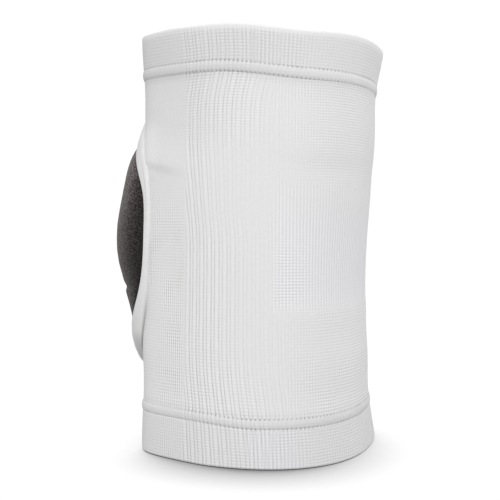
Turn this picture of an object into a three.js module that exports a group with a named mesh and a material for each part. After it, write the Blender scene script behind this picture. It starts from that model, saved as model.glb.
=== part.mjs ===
// Wrestling knee pad: a knitted sleeve with turned hems and a domed pad sewn to its front.
// Sizes are in millimetres and angles in degrees. Up is +Z, the padded front faces -Y.
import * as THREE from "three";

// Driving dimensions of the whole sleeve
const sleeveHeight = 220;
const topFrontRise = 1;
const topBackDrop = 2.6;
const topDropStart = 96;
const topDropEnd = 138;
const frontSquareness = 8;
const backSquareness = 2.3;
const sideTaper = 0.15;
const sideTaperPower = 1.25;
const knitWall = 2;
const seamGap = 0.3;

// Driving dimensions of the two hems, whose bands change a little in width from the front to the back
const bottomBand = { front: 21.6, back: 19.8, changeStart: 85, changeEnd: 115 };
const topBand = { front: 17.1, back: 19.2, changeStart: 80, changeEnd: 150 };
const seamRidgeWidth = 5.3;
const hemProud = 0.6;
const seamRidgeProud = 1.3;
const hemInnerFace = 3.5;

// Angles of the columns round half the front, close together at its tight corner, and column counts behind it
const frontColumns = [0, 10, 20, 30, 38, 43, 46, 48.5, 50.5, 52.5, 54.5, 57, 60.5, 65, 72];
const hemBackColumns = 13;
const sleeveBackColumns = 10;

// Driving dimensions of the ribbed bands, one down each side of the leg
const ribStart = 79;
const ribEnd = 107.5;
const ribCount = 8;
const ribDepth = 0.6;

// Driving dimensions of the finer knitted panel behind the knee, drawn in a little from the knit around it
const panelStart = 119;
const panelBottom = 76;
const panelTop = 147;
const panelDepth = 0.7;
const panelEdge = 5;

// Driving dimensions of the pad and its border
const padMiddle = 114;
const padOvalPower = 2.6;
const borderHalfWidth = 57.4;
const borderHeightAbove = 79.5;
const borderHeightBelow = 81;
const borderInnerHalfWidth = 54.2;
const borderInnerHalfHeight = 60.5;
const padHalfWidth = 53.7;
const padHalfHeight = 60;
const padSideEdge = 2;
const padTopEdge = 9.4;
const padBottomEdge = 14.8;
const padCrownPower = 3.2;

// Sections of the sleeve up the leg: half width at the side, and reach to the front and back of the leg axis
const legSections = [
  { z: 0, side: 64.4, front: 45.8, back: 71.2 },
  { z: 25, side: 63.2, front: 45.6, back: 67.5 },
  { z: 55, side: 62.2, front: 45.6, back: 67.1 },
  { z: 87, side: 61.5, front: 45.8, back: 65.6 },
  { z: 112, side: 61.1, front: 45.8, back: 66.5 },
  { z: 138, side: 60.7, front: 45.6, back: 68.6 },
  { z: 170, side: 60.4, front: 45, back: 70.6 },
  { z: 198, side: 61.1, front: 44.7, back: 71.1 },
  { z: 220, side: 64.2, front: 44.4, back: 75 },
];

// Soft dents in the knit, the same on both sides: angle from the front, height, half spans and depth
const dents = [
  { angle: 63, z: 153, halfAngle: 9, halfHeight: 7, depth: 1.1 },
  { angle: 71, z: 92, halfAngle: 7, halfHeight: 22, depth: 0.7 },
  { angle: 150, z: 150, halfAngle: 26, halfHeight: 8, depth: 0.8 },
  { angle: 160, z: 62, halfAngle: 24, halfHeight: 12, depth: 0.6 },
];

// Cross-section of the pad border: share of the way in from the outer seam, and its height above the knit
// at the sides, where it is steep and narrow, at the sloped top and at the plump bottom
const borderProfile = [
  { inward: 0.01, side: 0.6, top: 0.8, bottom: 1.5 },
  { inward: 0.1, side: 1.3, top: 2.4, bottom: 5.3 },
  { inward: 0.24, side: 1.9, top: 4.2, bottom: 9.7 },
  { inward: 0.42, side: 2.3, top: 6, bottom: 13.1 },
  { inward: 0.64, side: 2.6, top: 8, bottom: 15.7 },
  { inward: 0.86, side: 2.7, top: 9.8, bottom: 16.5 },
  { inward: 1, side: 2.3, top: 10, bottom: 15.4 },
  { inward: 1, side: 0.4, top: 0.4, bottom: 0.4 },
  { inward: 0.7, side: 0.4, top: 0.4, bottom: 0.4 },
  { inward: 0.4, side: 0.4, top: 0.4, bottom: 0.4 },
  { inward: 0.08, side: 0.4, top: 0.4, bottom: 0.4 },
];
const borderSteps = 60;

// Rows of the pad from top to bottom: height from its middle, and crown height above the knit
const padRows = [
  { up: 59.5, crown: 10.8 },
  { up: 58, crown: 13.2 },
  { up: 55, crown: 16.4 },
  { up: 50.5, crown: 19 },
  { up: 45, crown: 20.9 },
  { up: 38, crown: 22.3 },
  { up: 30, crown: 23.1 },
  { up: 22, crown: 24.6 },
  { up: 14, crown: 26.6 },
  { up: 7, crown: 28.2 },
  { up: 0, crown: 28.7 },
  { up: -7, crown: 28.4 },
  { up: -14, crown: 26.8 },
  { up: -20, crown: 24.2 },
  { up: -24.5, crown: 21.8 },
  { up: -27, crown: 19.2 },
  { up: -29.5, crown: 21.4 },
  { up: -35, crown: 19.3 },
  { up: -41, crown: 17 },
  { up: -46.5, crown: 15.6 },
  { up: -51, crown: 15 },
  { up: -55, crown: 14.8 },
  { up: -58, crown: 14.8 },
  { up: -59.5, crown: 14.8 },
];
const padAcross = 18;
const padUnderAcross = 20;
const padUnderGap = 0.45;

// Colours
const knitMaterial = new THREE.MeshStandardMaterial({ name: "white_knit", color: 0xe2e1e0, roughness: 0.9 });
const hemMaterial = new THREE.MeshStandardMaterial({ name: "hem_knit", color: 0xe8e7e6, roughness: 0.9 });
const rimMaterial = new THREE.MeshStandardMaterial({ name: "border_knit", color: 0xe4e3e2, roughness: 0.9 });
const padMaterial = new THREE.MeshStandardMaterial({ name: "pad_fabric", color: 0x4b4444, roughness: 0.95 });

const radians = THREE.MathUtils.degToRad;

// Smooth curve through one column of the section table
function sectionValue(z, column) {
  const last = legSections.length - 1;
  let row = 0;
  while (row < last - 1 && z > legSections[row + 1].z) row += 1;
  const low = legSections[row];
  const high = legSections[row + 1];
  const before = legSections[Math.max(row - 1, 0)];
  const after = legSections[Math.min(row + 2, last)];
  const span = high.z - low.z;
  const t = (z - low.z) / span;
  const slopeLow = ((high[column] - before[column]) / (high.z - before.z)) * span;
  const slopeHigh = ((after[column] - low[column]) / (after.z - low.z)) * span;
  const cube = t * t * t;
  const square = t * t;
  return low[column] * (2 * cube - 3 * square + 1) + slopeLow * (cube - 2 * square + t)
    + high[column] * (3 * square - 2 * cube) + slopeHigh * (cube - square);
}

// Angle from the front, the same on both sides of the leg
function angleFromFront(angle) {
  return angle > 180 ? 360 - angle : Math.abs(angle);
}

// Width of a hem's band at an angle round the leg
function bandAt(hem, angle) {
  const share = THREE.MathUtils.smoothstep(angleFromFront(angle), hem.changeStart, hem.changeEnd);
  return THREE.MathUtils.lerp(hem.front, hem.back, share);
}

// Closed loop of one hem: distance in from the free edge, and how far it stands out from the knit
function hemLoop(band) {
  const lip = band + seamRidgeWidth;
  const slotFloor = band + 0.4;
  return [
    { inset: 0, out: -hemInnerFace + 0.9 },
    { inset: 0, out: -0.1 },
    { inset: 0.6, out: hemProud - 0.25 },
    { inset: 1.8, out: hemProud },
    { inset: band * 0.55, out: hemProud + 0.15 },
    { inset: band - 1, out: hemProud },
    { inset: band, out: hemProud - 0.45 },
    { inset: band + 1.1, out: seamRidgeProud - 0.1 },
    { inset: lip - 1.3, out: seamRidgeProud },
    { inset: lip, out: seamGap + 0.5 },
    { inset: lip, out: seamGap },
    { inset: slotFloor, out: seamGap },
    { inset: slotFloor, out: -knitWall - seamGap },
    { inset: lip - 0.8, out: -knitWall - seamGap },
    { inset: lip - 0.8, out: -hemInnerFace + 0.2 },
    { inset: 1, out: -hemInnerFace },
  ];
}

// The leg axis is set so that the pad's crown and the top hem reach equally far to the front and the back
const padReach = Math.max(...padRows.map((row) => sectionValue(padMiddle + row.up, "front") + row.crown));
const hemReach = Math.max(
  ...hemLoop(topBand.back).map((point) => sectionValue(sleeveHeight - point.inset, "back") + point.out),
);
const axisY = (padReach - hemReach) / 2;

// A point on the sleeve: angle round the leg from the front, height up the leg and distance out from the knit.
// The back of the section is a full oval. The front is flat behind the pad, with tight corners, and the sides
// close in a little towards it. The distance from the leg axis is found by halving the range it lies in.
function legPoint(angle, z, out) {
  const sine = Math.sin(radians(angle));
  const cosine = Math.cos(radians(angle));
  const facesFront = cosine > 0;
  const power = facesFront ? frontSquareness : backSquareness;
  const taper = facesFront ? sideTaper : 0;
  const side = sectionValue(z, "side");
  const reach = sectionValue(z, facesFront ? "front" : "back");
  const widthAt = (share) => side * (1 - taper * Math.min(share, 1) ** sideTaperPower);
  let nearest = 0;
  let furthest = side + reach;
  for (let halving = 0; halving < 44; halving += 1) {
    const radius = (nearest + furthest) / 2;
    const forward = (radius * Math.abs(cosine)) / reach;
    const across = (radius * Math.abs(sine)) / widthAt(forward);
    if (across ** power + forward ** power > 1) furthest = radius;
    else nearest = radius;
  }
  const forward = Math.min((nearest * Math.abs(cosine)) / reach, 1);
  const across = (nearest * Math.abs(sine)) / widthAt(forward);
  const narrowing = (side * taper * sideTaperPower * forward ** (sideTaperPower - 1)) / reach;
  const outward = new THREE.Vector2(
    Math.sign(sine) * across ** (power - 1),
    -Math.sign(cosine) * ((forward ** (power - 1) * widthAt(forward)) / reach + across ** power * narrowing),
  ).normalize();
  const drop = THREE.MathUtils.smoothstep(angleFromFront(angle), topDropStart, topDropEnd);
  const lift = (topFrontRise - (topFrontRise + topBackDrop) * drop) * (z / sleeveHeight) ** 2;
  return new THREE.Vector3(
    nearest * sine + outward.x * out,
    axisY - nearest * cosine + outward.y * out,
    z + lift,
  );
}

// Length round the knit from the middle of the front to each whole degree, at the height of the pad's middle
const frontLengths = [0];
for (let degree = 1; degree <= 100; degree += 1) {
  const chord = legPoint(degree, padMiddle, 0).distanceTo(legPoint(degree - 1, padMiddle, 0));
  frontLengths.push(frontLengths[degree - 1] + chord);
}

// Angle round the leg at a length measured round the knit from the middle of the front
function angleAtLength(length) {
  let degree = 1;
  while (frontLengths[degree] < Math.abs(length)) degree += 1;
  const step = frontLengths[degree] - frontLengths[degree - 1];
  return Math.sign(length) * (degree - 1 + (Math.abs(length) - frontLengths[degree - 1]) / step);
}

// One closed body from loops of points: each loop is joined to the next, and the last to the first or capped
function loopSolid(loops, closedRound, material, name) {
  const count = loops[0].length;
  const positions = [];
  const faces = [];
  loops.forEach((loop) => loop.forEach((point) => positions.push(point.x, point.y, point.z)));
  const joins = closedRound ? loops.length : loops.length - 1;
  for (let loop = 0; loop < joins; loop += 1) {
    const here = loop * count;
    const there = ((loop + 1) % loops.length) * count;
    for (let step = 0; step < count; step += 1) {
      const next = (step + 1) % count;
      faces.push(here + step, there + step, there + next);
      faces.push(here + step, there + next, here + next);
    }
  }
  if (!closedRound) {
    [0, loops.length - 1].forEach((loop) => {
      const middle = positions.length / 3;
      const centre = new THREE.Vector3();
      loops[loop].forEach((point) => centre.addScaledVector(point, 1 / count));
      positions.push(centre.x, centre.y, centre.z);
      for (let step = 0; step < count; step += 1) {
        const here = loop * count + step;
        const next = loop * count + ((step + 1) % count);
        if (loop === 0) faces.push(middle, here, next);
        else faces.push(middle, next, here);
      }
    });
  }
  const geometry = new THREE.BufferGeometry();
  geometry.setAttribute("position", new THREE.Float32BufferAttribute(positions, 3));
  geometry.setIndex(faces);
  geometry.computeVertexNormals();
  const mesh = new THREE.Mesh(geometry, material);
  mesh.name = name;
  return mesh;
}

// Angles of the columns round the whole leg, from those of one half
function bothHalves(half) {
  return [...half, 180, ...half.slice(1).reverse().map((angle) => 360 - angle)];
}

// Evenly spaced angles from one up to, but not including, another
function evenAngles(from, to, count) {
  return Array.from({ length: count }, (_, step) => from + ((to - from) * step) / count);
}

// How far the whole knit lies in, for the dents and the drawn-in panel
function knitSag(fromFront, z) {
  let depth = 0;
  dents.forEach((dent) => {
    const across = (fromFront - dent.angle) / dent.halfAngle;
    const along = (z - dent.z) / dent.halfHeight;
    const spread = across * across + along * along;
    if (spread < 4) depth += dent.depth * Math.exp(-spread) * (1 - spread / 4);
  });
  const round = THREE.MathUtils.smoothstep(fromFront, panelStart, panelStart + panelEdge);
  const low = THREE.MathUtils.smoothstep(z, panelBottom, panelBottom + panelEdge);
  const high = THREE.MathUtils.smoothstep(z, panelTop - panelEdge, panelTop);
  return depth + panelDepth * round * low * (1 - high);
}

// How far the valleys between the ribs are cut into the knit's outer face
function ribValley(fromFront) {
  if (fromFront <= ribStart || fromFront >= ribEnd) return 0;
  const turn = ((fromFront - ribStart) / (ribEnd - ribStart)) * ribCount * Math.PI * 2;
  return (ribDepth * (1 - Math.cos(turn))) / 2;
}

// Knitted tube with two columns to a rib, its ends tucked into the slots of the hems
function makeSleeve() {
  const outerRows = 19;
  const innerRows = 7;
  const ribColumns = evenAngles(ribStart, ribEnd, ribCount * 2);
  const backColumns = evenAngles(ribEnd, 180, sleeveBackColumns);
  const loops = bothHalves([...frontColumns, ...ribColumns, ...backColumns]).map((angle) => {
    const loop = [];
    const fromFront = angleFromFront(angle);
    const foot = bandAt(bottomBand, angle) + 0.4 + seamGap;
    const head = sleeveHeight - bandAt(topBand, angle) - 0.4 - seamGap;
    for (let row = 0; row < outerRows; row += 1) {
      const z = foot + ((head - foot) * row) / (outerRows - 1);
      loop.push(legPoint(angle, z, -knitSag(fromFront, z) - ribValley(fromFront)));
    }
    for (let row = innerRows - 1; row >= 0; row -= 1) {
      const z = foot + ((head - foot) * row) / (innerRows - 1);
      loop.push(legPoint(angle, z, -knitWall - knitSag(fromFront, z)));
    }
    return loop;
  });
  return loopSolid(loops, true, knitMaterial, "knit_sleeve");
}

// Turned hem with its raised seam; the top one is the same loop hung from the top edge
function makeHem(hem, atTop, name) {
  const half = [...frontColumns, ...evenAngles(ribStart, 180, hemBackColumns)];
  const loops = bothHalves(half).map((angle) => {
    const loop = hemLoop(bandAt(hem, angle)).map((point) =>
      legPoint(angle, atTop ? sleeveHeight - point.inset : point.inset, point.out));
    return atTop ? loop.reverse() : loop;
  });
  return loopSolid(loops, true, hemMaterial, name);
}

// Half width of an oval at a height from its middle
function ovalHalfWidth(up, halfWidth, halfHeight) {
  const share = Math.min(Math.abs(up) / halfHeight, 1);
  return halfWidth * (1 - share ** padOvalPower) ** (1 / padOvalPower);
}

// Raised rim round the pad
function makeBorder() {
  const loops = [];
  const ovalReach = (value) => Math.sign(value) * Math.abs(value) ** (2 / padOvalPower);
  for (let step = 0; step < borderSteps; step += 1) {
    const turn = (step / borderSteps) * Math.PI * 2;
    const topShare = Math.max(Math.sin(turn), 0) ** 2;
    const bottomShare = Math.max(-Math.sin(turn), 0) ** 2;
    loops.push(borderProfile.map((point) => {
      const halfWidth = THREE.MathUtils.lerp(borderHalfWidth, borderInnerHalfWidth, point.inward);
      const outerHeight = Math.sin(turn) > 0 ? borderHeightAbove : borderHeightBelow;
      const halfHeight = THREE.MathUtils.lerp(outerHeight, borderInnerHalfHeight, point.inward);
      const across = halfWidth * ovalReach(Math.cos(turn));
      const up = halfHeight * ovalReach(Math.sin(turn));
      const topRise = (point.top - point.side) * topShare;
      const bottomRise = (point.bottom - point.side) * bottomShare;
      const height = point.side + topRise + bottomRise;
      return legPoint(angleAtLength(across), padMiddle + up, height);
    }));
  }
  return loopSolid(loops, true, rimMaterial, "pad_border");
}

// Domed pad with the flex line pressed across its lower part; its underside follows the sleeve
function makePad() {
  const loops = padRows.map((row) => {
    const halfWidth = ovalHalfWidth(row.up, padHalfWidth, padHalfHeight);
    const endShare = (row.up / padHalfHeight) ** 2;
    const edge = THREE.MathUtils.lerp(padSideEdge, row.up > 0 ? padTopEdge : padBottomEdge, endShare);
    const padPoint = (share, height) =>
      legPoint(angleAtLength(share * halfWidth), padMiddle + row.up, height);
    const shareAt = (step, count) => Math.sin(((step / count) * 2 - 1) * (Math.PI / 2));
    const loop = [];
    for (let step = 0; step <= padAcross; step += 1) {
      const share = shareAt(step, padAcross);
      const dome = 1 - Math.abs(share) ** padCrownPower;
      loop.push(padPoint(share, edge + (row.crown - edge) * dome));
    }
    for (let step = 0; step <= padUnderAcross; step += 1) {
      loop.push(padPoint(-shareAt(step, padUnderAcross), padUnderGap));
    }
    return loop;
  });
  return loopSolid(loops, false, padMaterial, "pad");
}

const kneePad = new THREE.Group();
kneePad.name = "wrestling_knee_pad";
kneePad.add(makeSleeve());
kneePad.add(makeHem(topBand, true, "top_hem"));
kneePad.add(makeHem(bottomBand, false, "bottom_hem"));
kneePad.add(makeBorder());
kneePad.add(makePad());

export default kneePad;
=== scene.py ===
# Wrestling knee pad: the finished look of the knitted sleeve, its hems, the pad and its border.
# The pieces are sized in millimetres, the studio and the camera in metres. +Z is up, the pad faces -Y.
import math
import bpy
import numpy as np
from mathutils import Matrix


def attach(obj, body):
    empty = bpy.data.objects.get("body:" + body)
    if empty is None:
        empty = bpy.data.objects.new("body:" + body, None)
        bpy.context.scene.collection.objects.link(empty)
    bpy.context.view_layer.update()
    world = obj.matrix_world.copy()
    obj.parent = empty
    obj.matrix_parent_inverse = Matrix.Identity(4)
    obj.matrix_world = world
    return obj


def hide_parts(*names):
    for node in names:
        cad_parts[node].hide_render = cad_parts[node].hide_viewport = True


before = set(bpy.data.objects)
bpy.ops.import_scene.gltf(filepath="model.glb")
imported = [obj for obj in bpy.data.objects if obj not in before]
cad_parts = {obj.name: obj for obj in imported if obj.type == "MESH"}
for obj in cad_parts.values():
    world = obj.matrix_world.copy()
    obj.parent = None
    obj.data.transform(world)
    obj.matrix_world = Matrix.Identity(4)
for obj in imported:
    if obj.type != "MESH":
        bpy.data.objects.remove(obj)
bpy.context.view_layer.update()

mm = 0.001
fullTurn = 2 * math.pi
scene = bpy.context.scene


# The leg form that every piece follows
# Angles run round the leg in degrees, 0 at the front and 90 at the side.
legForm = {
    "height": 220,
    "axisY": -0.39,
    "topFrontRise": 1,
    "topBackDrop": 2.6,
    "topDropSpan": (96, 138),
    "frontPower": 8,
    "backPower": 2.3,
    "sideTaper": 0.15,
    "taperPower": 1.25,
    "kneeHeight": 114,
    "halvings": 36,
    "arcSamples": 721,
    # height, half width at the side, reach to the front, reach to the back
    "sections": [
        (0, 64.4, 45.8, 71.2),
        (25, 63.2, 45.6, 67.5),
        (55, 62.2, 45.6, 67.1),
        (87, 61.5, 45.8, 65.6),
        (112, 61.1, 45.8, 66.5),
        (138, 60.7, 45.6, 68.6),
        (170, 60.4, 45, 70.6),
        (198, 61.1, 44.7, 71.1),
        (220, 64.2, 44.4, 75),
    ],
}
sectionTable = np.array(legForm["sections"], dtype=float)


def smoothStep(value, low, high):
    share = np.clip((np.asarray(value, dtype=float) - low) / (high - low), 0, 1)
    return share * share * (3 - 2 * share)  # falls where low is the larger


def bell(distance, span):
    return np.exp(-((distance / span) ** 2))


def blend(first, second, share):
    return first + (second - first) * share


def unit(vectors):
    return vectors / np.linalg.norm(vectors, axis=-1, keepdims=True)


def sectionValue(z, column):
    heights = sectionTable[:, 0]
    values = sectionTable[:, column]
    last = len(heights) - 1
    low = np.clip(np.searchsorted(heights, z) - 1, 0, last - 1)
    high = low + 1
    before = np.maximum(low - 1, 0)
    after = np.minimum(high + 1, last)
    span = heights[high] - heights[low]
    t = (z - heights[low]) / span
    slopeLow = (values[high] - values[before]) / (heights[high] - heights[before]) * span
    slopeHigh = (values[after] - values[low]) / (heights[after] - heights[low]) * span
    start = values[low] * (2 * t**3 - 3 * t**2 + 1) + slopeLow * (t**3 - 2 * t**2 + t)
    return start + values[high] * (3 * t**2 - 2 * t**3) + slopeHigh * (t**3 - t**2)


# A point at an angle round the leg and a height up it, standing out from the knit along its normal.
# The front is flat with tight corners and the back round, so the radius is found by halving its range.
def legPoint(angle, z, out):
    angle, z, out = np.broadcast_arrays(*[np.asarray(value, dtype=float) for value in (angle, z, out)])
    sine = np.sin(np.radians(angle))
    cosine = np.cos(np.radians(angle))
    facesFront = cosine > 0
    power = np.where(facesFront, legForm["frontPower"], legForm["backPower"])
    taper = np.where(facesFront, legForm["sideTaper"], 0)
    side = sectionValue(z, 1)
    reach = np.where(facesFront, sectionValue(z, 2), sectionValue(z, 3))

    def widthAt(forward):
        return side * (1 - taper * np.minimum(forward, 1) ** legForm["taperPower"])

    nearest = np.zeros(angle.shape)
    furthest = side + reach
    for halving in range(legForm["halvings"]):
        radius = (nearest + furthest) / 2
        forward = radius * np.abs(cosine) / reach
        across = radius * np.abs(sine) / widthAt(forward)
        beyond = across**power + forward**power > 1
        furthest = np.where(beyond, radius, furthest)
        nearest = np.where(beyond, nearest, radius)
    forward = np.minimum(nearest * np.abs(cosine) / reach, 1)
    across = nearest * np.abs(sine) / widthAt(forward)
    narrowing = side * taper * legForm["taperPower"] * forward ** (legForm["taperPower"] - 1) / reach
    normalX = np.sign(sine) * across ** (power - 1)
    facing = forward ** (power - 1) * widthAt(forward) / reach + across**power * narrowing
    normalY = -np.sign(cosine) * facing
    length = np.hypot(normalX, normalY)
    drop = smoothStep(np.abs(angle), *legForm["topDropSpan"])
    rise = blend(legForm["topFrontRise"], -legForm["topBackDrop"], drop)
    x = nearest * sine + normalX / length * out
    y = legForm["axisY"] - nearest * cosine + normalY / length * out
    return np.stack((x, y, z + rise * (z / legForm["height"]) ** 2), axis=-1)


# Distance round the knit from the front, measured at knee height
arcAngles = np.linspace(0, 180, legForm["arcSamples"])
arcSteps = np.linalg.norm(np.diff(legPoint(arcAngles, legForm["kneeHeight"], 0), axis=0), axis=1)
arcLengths = np.concatenate(([0], np.cumsum(arcSteps)))
halfGirth = arcLengths[-1]


def arcAt(angle):
    return np.interp(np.abs(angle), arcAngles, arcLengths)


def angleAt(arc):
    return np.interp(arc, arcLengths, arcAngles)


# Angles of the columns all the way round, from the arcs of one half
def mirroredAngles(halfArcs):
    half = angleAt(halfArcs)
    return np.concatenate((half, -half[-2:0:-1]))


print(f"leg form ready, girth {2 * halfGirth:.0f} mm")


# Nodes of one material: a Wire is a socket that sums can be written on
class Wire:
    def __init__(self, board, socket):
        self.board = board
        self.socket = socket

    def __add__(self, other):
        return self.board.math("ADD", self, other)

    def __radd__(self, other):
        return self.board.math("ADD", other, self)

    def __sub__(self, other):
        return self.board.math("SUBTRACT", self, other)

    def __rsub__(self, other):
        return self.board.math("SUBTRACT", other, self)

    def __mul__(self, other):
        return self.board.math("MULTIPLY", self, other)

    def __rmul__(self, other):
        return self.board.math("MULTIPLY", other, self)

    def __truediv__(self, other):
        return self.board.math("DIVIDE", self, other)

    def __rtruediv__(self, other):
        return self.board.math("DIVIDE", other, self)

    def __pow__(self, other):
        return self.board.math("POWER", self, other)


class Board:
    def __init__(self, tree):
        self.tree = tree
        tree.nodes.clear()

    def node(self, kind, settings=None, sockets=None, output=0):
        made = self.tree.nodes.new(kind)
        for key, value in (settings or {}).items():
            if key == "stops":
                self.setStops(made.color_ramp, value)
            else:
                setattr(made, key, value)
        for key, value in (sockets or {}).items():
            if isinstance(value, Wire):
                self.tree.links.new(value.socket, made.inputs[key])
            else:
                made.inputs[key].default_value = value
        return Wire(self, made.outputs[output]) if len(made.outputs) else None

    def setStops(self, ramp, stops):
        while len(ramp.elements) < len(stops):
            ramp.elements.new(0.5)
        for element, (position, colour) in zip(ramp.elements, stops):
            element.position = position
            element.color = (*colour, 1)

    def math(self, operation, *values):
        return self.node("ShaderNodeMath", {"operation": operation}, dict(enumerate(values)))

    def wave(self, turns):
        return self.math("COSINE", turns * fullTurn) * 0.5 + 0.5

    def ease(self, value, low, high):
        sockets = {"Value": value, "From Min": low, "From Max": high}
        return self.node("ShaderNodeMapRange", {"interpolation_type": "SMOOTHSTEP"}, sockets)

    def uv(self, name):
        spot = self.node("ShaderNodeUVMap", {"uv_map": name})
        return self.axis(spot, "X"), self.axis(spot, "Y")

    def axis(self, vector, letter):
        return self.node("ShaderNodeSeparateXYZ", None, {"Vector": vector}, letter)

    def noise(self, spot, scale, detail):
        return self.node("ShaderNodeTexNoise", None, {"Vector": spot, "Scale": scale, "Detail": detail})

    def place(self):
        return self.node("ShaderNodeTexCoord", None, None, "Object")

    def mixColour(self, share, first, second):
        settings = {"data_type": "RGBA", "clamp_factor": True}
        return self.node("ShaderNodeMix", settings, {0: share, 6: first, 7: second}, 2)

    # a cloth surface, with its relief in millimetres
    def cloth(self, colour, roughness, relief, depth, constants):
        normal = self.node("ShaderNodeBump", None, {"Height": relief, "Distance": depth * mm})
        sockets = {"Base Color": colour, "Roughness": roughness, "Normal": normal, **constants}
        shader = self.node("ShaderNodeBsdfPrincipled", None, sockets)
        self.node("ShaderNodeOutputMaterial", None, {"Surface": shader})


def newFinish(name):
    material = bpy.data.materials.new(name)
    material.use_nodes = True
    return material, Board(material.node_tree)


# One mesh object from points in millimetres, with a UV map for each name given
def meshPiece(name, points, faces, uvMaps, material):
    mesh = bpy.data.meshes.new(name)
    mesh.from_pydata((points * mm).tolist(), [], faces)
    corners = np.empty(len(mesh.loops), dtype=np.int32)
    mesh.loops.foreach_get("vertex_index", corners)
    for mapName, spots in uvMaps.items():
        layer = mesh.uv_layers.new(name=mapName)
        layer.data.foreach_set("uv", spots[corners].astype(np.float32).ravel())
    mesh.shade_smooth()
    mesh.materials.append(material)
    piece = bpy.data.objects.new(name, mesh)
    scene.collection.objects.link(piece)
    return piece


# Faces of a grid that closes on itself both ways, turned so that they look out
def ringFaces(points):
    rows, columns = points.shape[:2]
    index = np.arange(rows * columns).reshape(rows, columns)
    above = np.roll(index, -1, axis=0)
    faces = np.stack((index, np.roll(index, -1, axis=1), np.roll(above, -1, axis=1), above), axis=-1)
    faces = faces.reshape(-1, 4)
    spots = points.reshape(-1, 3)
    first, second, third = (spots[faces[:, k]] for k in range(3))
    volume = np.sum(first * np.cross(second, third))
    return (faces if volume > 0 else faces[:, ::-1]).tolist()


# A piece from such a grid, with a pair of values over the grid for each UV map
def ringPiece(name, points, uvMaps, material):
    flatMaps = {}
    for key, pair in uvMaps.items():
        spots = [np.broadcast_to(values, points.shape[:2]).ravel() for values in pair]
        flatMaps[key] = np.stack(spots, axis=-1)
    return meshPiece(name, points.reshape(-1, 3), ringFaces(points), flatMaps, material)


# Ribs down each side of the leg: their valleys start at one line and bend a little on the way down
ribs = {
    "startAngle": 78.6,
    "pitch": 2.12,
    "topPitch": 2.4,
    "hemPitch": 2.15,
    "second": 0.84,
    "secondDepth": 0.85,
    "depth": 0.28,
    "valleyWidth": 0.17,
    "finePitch": 1.8,
    "fineDepth": 0.1,
    # how much the pairs differ in depth, and the turn from each pair to the next
    "uneven": 0.14,
    "unevenStep": 2.3,
    "unevenStart": 0.7,
    # distances past the first valley where the ribs fade and end, further on near the hems
    "fadeFrom": 15,
    "fadeTo": 37,
    "hemFadeTo": 55,
    "end": 70,
    "fadeLoss": 0.8,
    # share lost on the hems, above the lower hem and behind the knee
    "hemLoss": 0.28,
    "calfLoss": 0.15,
    "kneeLoss": 0.62,
    # share left under the top hem
    "topShare": 0.58,
    # height up the leg, and how far the valleys have moved back there, smoothed over some steps
    "bends": [
        (0, 8.6), (22, 6.6), (40, 4.2), (50, 3.2), (62, 2.9), (117, 3.2),
        (160, -2.4), (185, -2), (200, 2.6), (206, 3), (220, 2),
    ],
    "bendSteps": 440,
    "blurSteps": 40,
    "blurWidth": 16,
}


# Number of the rib at a point, counted from the first valley, and how strong the ribs are there
def ribField(angle, z, onHem):
    table = np.array(ribs["bends"], dtype=float)
    fineZ = np.linspace(0, legForm["height"], ribs["bendSteps"] + 1)
    coarse = np.interp(fineZ, table[:, 0], table[:, 1])
    blur = ribs["blurSteps"]
    width = bell(np.arange(-blur, blur + 1), ribs["blurWidth"])
    padded = np.pad(coarse, blur, mode="edge")
    bend = np.convolve(padded, width / width.sum(), mode="valid")
    past = arcAt(angle) - arcAt(ribs["startAngle"])
    fanned = blend(ribs["pitch"], ribs["topPitch"], smoothStep(z, 122, 160))
    number = (past - np.interp(z, fineZ, bend)) / (ribs["hemPitch"] if onHem else fanned)
    nearHems = 1 - smoothStep(z, 24, 60) * smoothStep(z, 190, 150)
    fadeTo = blend(ribs["fadeTo"], ribs["hemFadeTo"], nearHems)
    faded = np.clip((past - ribs["fadeFrom"]) / (fadeTo - ribs["fadeFrom"]), 0, 1)
    share = (1 - ribs["fadeLoss"] * faded) * smoothStep(past, ribs["end"], fadeTo)
    if onHem:
        share = share * (1 - ribs["hemLoss"] * smoothStep(z, 60, 160))
    else:
        # weaker behind and above the knee, then even again up to the top hem
        behindKnee = smoothStep(z, 105, 130) * smoothStep(past, 1, 20)
        underTop = ribs["topShare"] * smoothStep(past, 58, 26)
        share = share * (1 - ribs["calfLoss"] * smoothStep(z, 36, 58))
        share = share * (1 - ribs["kneeLoss"] * behindKnee)
        share = blend(share, underTop, smoothStep(z, 155, 177))
    return number, share * smoothStep(past, -1, 2)


# Depth of the valleys, which lie in pairs with the second of each pair the shallower
def ribValley(number):
    first = np.mod(number + 1, 2) - 1
    second = np.mod(number - ribs["second"] + 1, 2) - 1
    sway = np.sin(np.round(number / 2) * ribs["unevenStep"] + ribs["unevenStart"])
    valleys = bell(first, ribs["valleyWidth"]) + ribs["secondDepth"] * bell(second, ribs["valleyWidth"])
    return valleys * blend(1, sway, ribs["uneven"])


def fineValley(angle):
    return 0.5 + 0.5 * np.cos(fullTurn * arcAt(angle) / ribs["finePitch"])


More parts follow.
